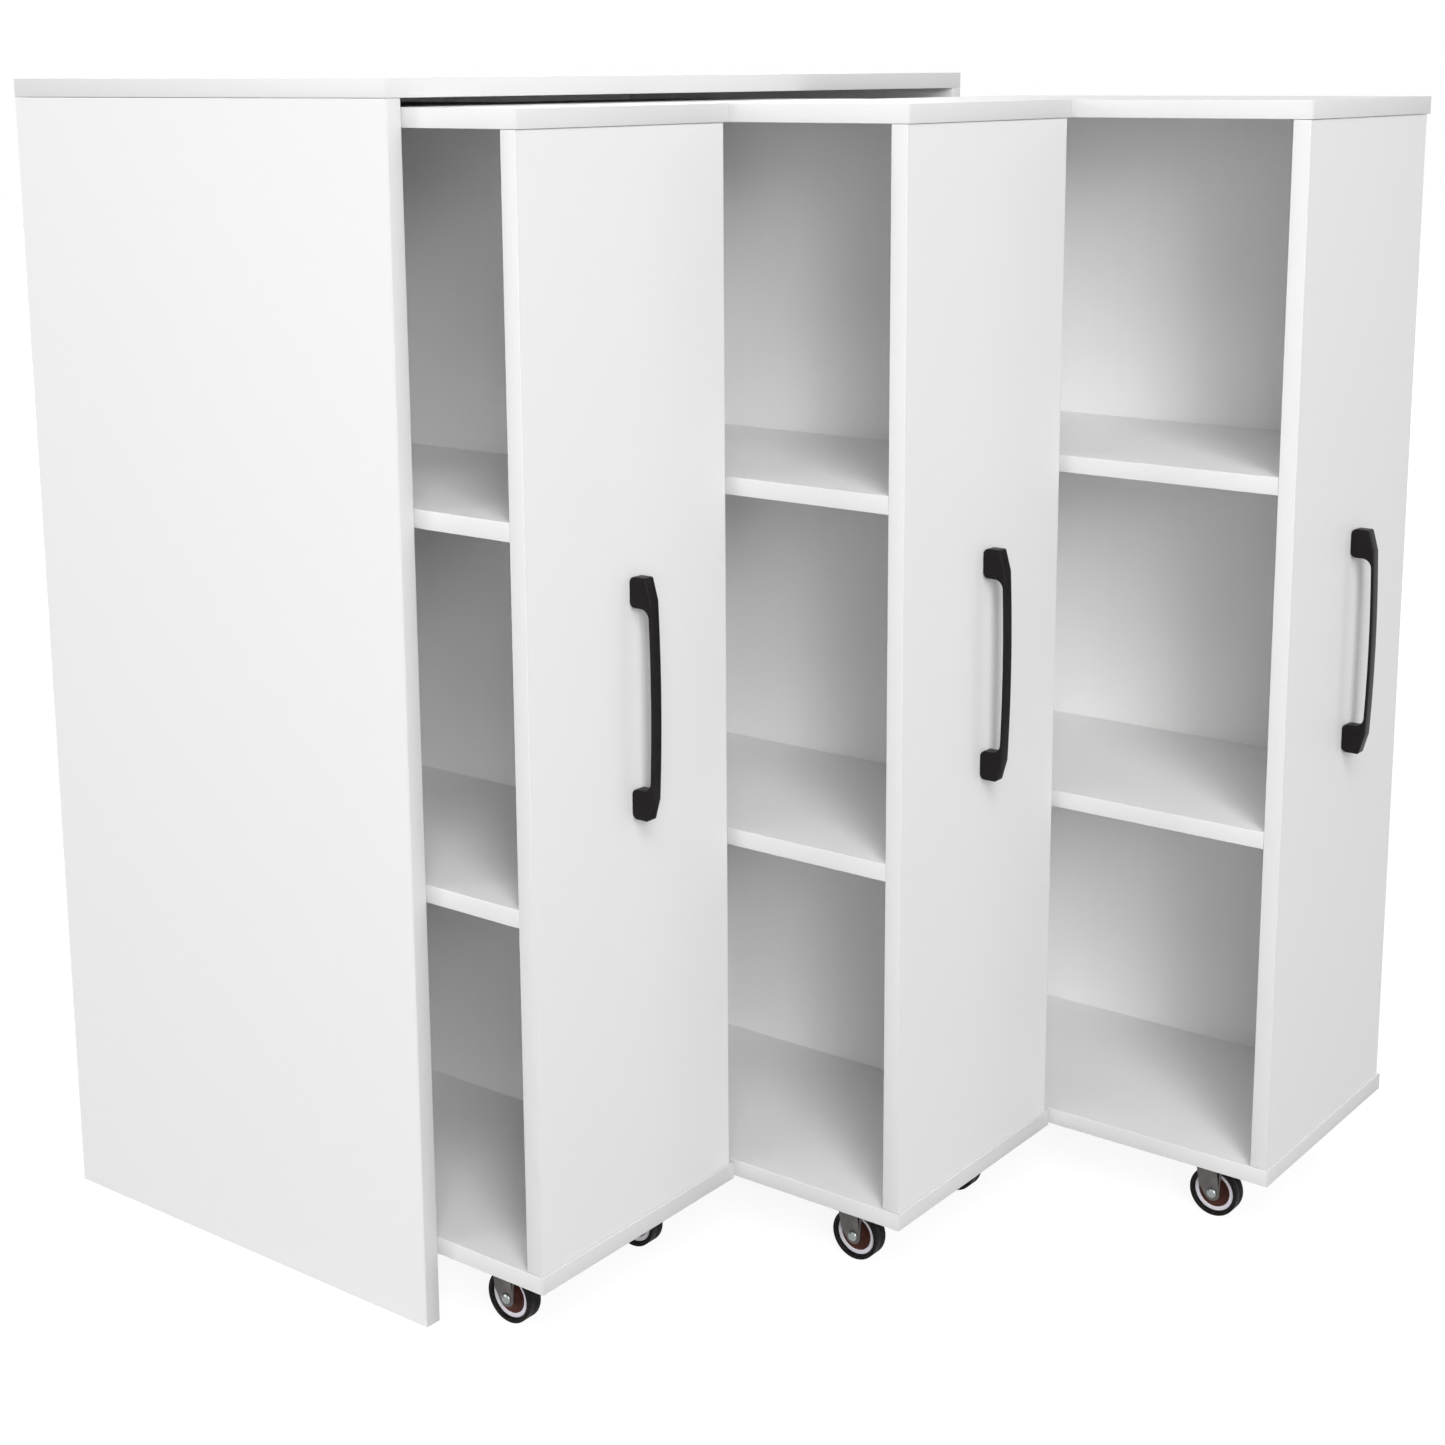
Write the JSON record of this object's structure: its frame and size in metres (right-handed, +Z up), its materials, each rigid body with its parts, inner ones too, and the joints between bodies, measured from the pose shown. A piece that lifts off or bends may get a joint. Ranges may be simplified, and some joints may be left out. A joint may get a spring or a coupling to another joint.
{
  "type": "rolling bookcase",
  "caption": "White open-fronted case that houses tall side-loading shelf units on fixed casters, each rolled out by an arched black handle.",
  "frame": {"origin": "on the floor, under the middle of the bounding box with the units drawn out as pictured", "axes": "+Z up; +X to the right as seen from the front; +Y towards the closed back, so the units roll out along -Y"},
  "size_m": [0.8, 0.952, 1],
  "materials": {
    "melamine": "white melamine-faced board, satin, with edge band",
    "hardboard": "thin hardboard, lacquered white",
    "black_handle": "black satin lacquer on cast metal",
    "zinc_screw": "bright zinc",
    "zinc_steel": "zinc-plated pressed steel",
    "tyre": "black tyre, with a pale lilac ring and a dark brown hub in the visual model"
  },
  "bodies": {
    "case": {"case_top": "melamine", "case_side_left": "melamine", "case_side_right": "melamine", "case_back": "hardboard", "case_rail_bottom": "melamine", "case_rail_top": "melamine"},
    "left_unit": {"left_unit_bottom": "melamine", "left_unit_top": "melamine", "left_unit_front": "melamine", "left_unit_rear": "melamine", "left_unit_wall": "hardboard", "left_unit_shelf_1": "melamine", "left_unit_shelf_2": "melamine", "left_unit_handle": "black_handle", "left_unit_handle_screw_lower": "zinc_screw", "left_unit_handle_screw_upper": "zinc_screw", "left_unit_fork_front_left": "zinc_steel", "left_unit_fork_front_right": "zinc_steel", "left_unit_fork_rear_left": "zinc_steel", "left_unit_fork_rear_right": "zinc_steel"},
    "middle_unit": {"middle_unit_bottom": "melamine", "middle_unit_top": "melamine", "middle_unit_front": "melamine", "middle_unit_rear": "melamine", "middle_unit_wall": "hardboard", "middle_unit_shelf_1": "melamine", "middle_unit_shelf_2": "melamine", "middle_unit_handle": "black_handle", "middle_unit_handle_screw_lower": "zinc_screw", "middle_unit_handle_screw_upper": "zinc_screw", "middle_unit_fork_front_left": "zinc_steel", "middle_unit_fork_front_right": "zinc_steel", "middle_unit_fork_rear_left": "zinc_steel", "middle_unit_fork_rear_right": "zinc_steel"},
    "right_unit": {"right_unit_bottom": "melamine", "right_unit_top": "melamine", "right_unit_front": "melamine", "right_unit_rear": "melamine", "right_unit_wall": "hardboard", "right_unit_shelf_1": "melamine", "right_unit_shelf_2": "melamine", "right_unit_handle": "black_handle", "right_unit_handle_screw_lower": "zinc_screw", "right_unit_handle_screw_upper": "zinc_screw", "right_unit_fork_front_left": "zinc_steel", "right_unit_fork_front_right": "zinc_steel", "right_unit_fork_rear_left": "zinc_steel", "right_unit_fork_rear_right": "zinc_steel"},
    "left_wheel_front_left": {"left_unit_wheel_front_left": "tyre"},
    "left_wheel_front_right": {"left_unit_wheel_front_right": "tyre"},
    "left_wheel_rear_left": {"left_unit_wheel_rear_left": "tyre"},
    "left_wheel_rear_right": {"left_unit_wheel_rear_right": "tyre"},
    "middle_wheel_front_left": {"middle_unit_wheel_front_left": "tyre"},
    "middle_wheel_front_right": {"middle_unit_wheel_front_right": "tyre"},
    "middle_wheel_rear_left": {"middle_unit_wheel_rear_left": "tyre"},
    "middle_wheel_rear_right": {"middle_unit_wheel_rear_right": "tyre"},
    "right_wheel_front_left": {"right_unit_wheel_front_left": "tyre"},
    "right_wheel_front_right": {"right_unit_wheel_front_right": "tyre"},
    "right_wheel_rear_left": {"right_unit_wheel_rear_left": "tyre"},
    "right_wheel_rear_right": {"right_unit_wheel_rear_right": "tyre"}
  },
  "joints": [
    {"name": "left_unit_roll_out", "type": "slide", "parent": "case", "child": "left_unit", "axis": [0, -1, 0], "range_m": [-0.11, 0.44]},
    {"name": "middle_unit_roll_out", "type": "slide", "parent": "case", "child": "middle_unit", "axis": [0, -1, 0], "range_m": [-0.278, 0.272]},
    {"name": "right_unit_roll_out", "type": "slide", "parent": "case", "child": "right_unit", "axis": [0, -1, 0], "range_m": [-0.49, 0.06]},
    {"name": "left_wheel_front_left_turn", "type": "hinge", "parent": "left_unit", "child": "left_wheel_front_left", "pos_m": [-0.346, -0.012, 0.0225], "axis": [1, 0, 0], "continuous": true},
    {"name": "left_wheel_front_right_turn", "type": "hinge", "parent": "left_unit", "child": "left_wheel_front_right", "pos_m": [-0.187, -0.012, 0.0225], "axis": [1, 0, 0], "continuous": true},
    {"name": "left_wheel_rear_left_turn", "type": "hinge", "parent": "left_unit", "child": "left_wheel_rear_left", "pos_m": [-0.346, 0.277, 0.0225], "axis": [1, 0, 0], "continuous": true},
    {"name": "left_wheel_rear_right_turn", "type": "hinge", "parent": "left_unit", "child": "left_wheel_rear_right", "pos_m": [-0.187, 0.277, 0.0225], "axis": [1, 0, 0], "continuous": true},
    {"name": "middle_wheel_front_left_turn", "type": "hinge", "parent": "middle_unit", "child": "middle_wheel_front_left", "pos_m": [-0.091, -0.18, 0.0225], "axis": [1, 0, 0], "continuous": true},
    {"name": "middle_wheel_front_right_turn", "type": "hinge", "parent": "middle_unit", "child": "middle_wheel_front_right", "pos_m": [0.068, -0.18, 0.0225], "axis": [1, 0, 0], "continuous": true},
    {"name": "middle_wheel_rear_left_turn", "type": "hinge", "parent": "middle_unit", "child": "middle_wheel_rear_left", "pos_m": [-0.091, 0.109, 0.0225], "axis": [1, 0, 0], "continuous": true},
    {"name": "middle_wheel_rear_right_turn", "type": "hinge", "parent": "middle_unit", "child": "middle_wheel_rear_right", "pos_m": [0.068, 0.109, 0.0225], "axis": [1, 0, 0], "continuous": true},
    {"name": "right_wheel_front_left_turn", "type": "hinge", "parent": "right_unit", "child": "right_wheel_front_left", "pos_m": [0.164, -0.392, 0.0225], "axis": [1, 0, 0], "continuous": true},
    {"name": "right_wheel_front_right_turn", "type": "hinge", "parent": "right_unit", "child": "right_wheel_front_right", "pos_m": [0.323, -0.392, 0.0225], "axis": [1, 0, 0], "continuous": true},
    {"name": "right_wheel_rear_left_turn", "type": "hinge", "parent": "right_unit", "child": "right_wheel_rear_left", "pos_m": [0.164, -0.103, 0.0225], "axis": [1, 0, 0], "continuous": true},
    {"name": "right_wheel_rear_right_turn", "type": "hinge", "parent": "right_unit", "child": "right_wheel_rear_right", "pos_m": [0.323, -0.103, 0.0225], "axis": [1, 0, 0], "continuous": true}
  ],
  "couplings": [
    {"joint": "left_wheel_front_left_turn", "follows": "left_unit_roll_out", "rad_per_m": 44.444},
    {"joint": "left_wheel_front_right_turn", "follows": "left_unit_roll_out", "rad_per_m": 44.444},
    {"joint": "left_wheel_rear_left_turn", "follows": "left_unit_roll_out", "rad_per_m": 44.444},
    {"joint": "left_wheel_rear_right_turn", "follows": "left_unit_roll_out", "rad_per_m": 44.444},
    {"joint": "middle_wheel_front_left_turn", "follows": "middle_unit_roll_out", "rad_per_m": 44.444},
    {"joint": "middle_wheel_front_right_turn", "follows": "middle_unit_roll_out", "rad_per_m": 44.444},
    {"joint": "middle_wheel_rear_left_turn", "follows": "middle_unit_roll_out", "rad_per_m": 44.444},
    {"joint": "middle_wheel_rear_right_turn", "follows": "middle_unit_roll_out", "rad_per_m": 44.444},
    {"joint": "right_wheel_front_left_turn", "follows": "right_unit_roll_out", "rad_per_m": 44.444},
    {"joint": "right_wheel_front_right_turn", "follows": "right_unit_roll_out", "rad_per_m": 44.444},
    {"joint": "right_wheel_rear_left_turn", "follows": "right_unit_roll_out", "rad_per_m": 44.444},
    {"joint": "right_wheel_rear_right_turn", "follows": "right_unit_roll_out", "rad_per_m": 44.444}
  ]
}
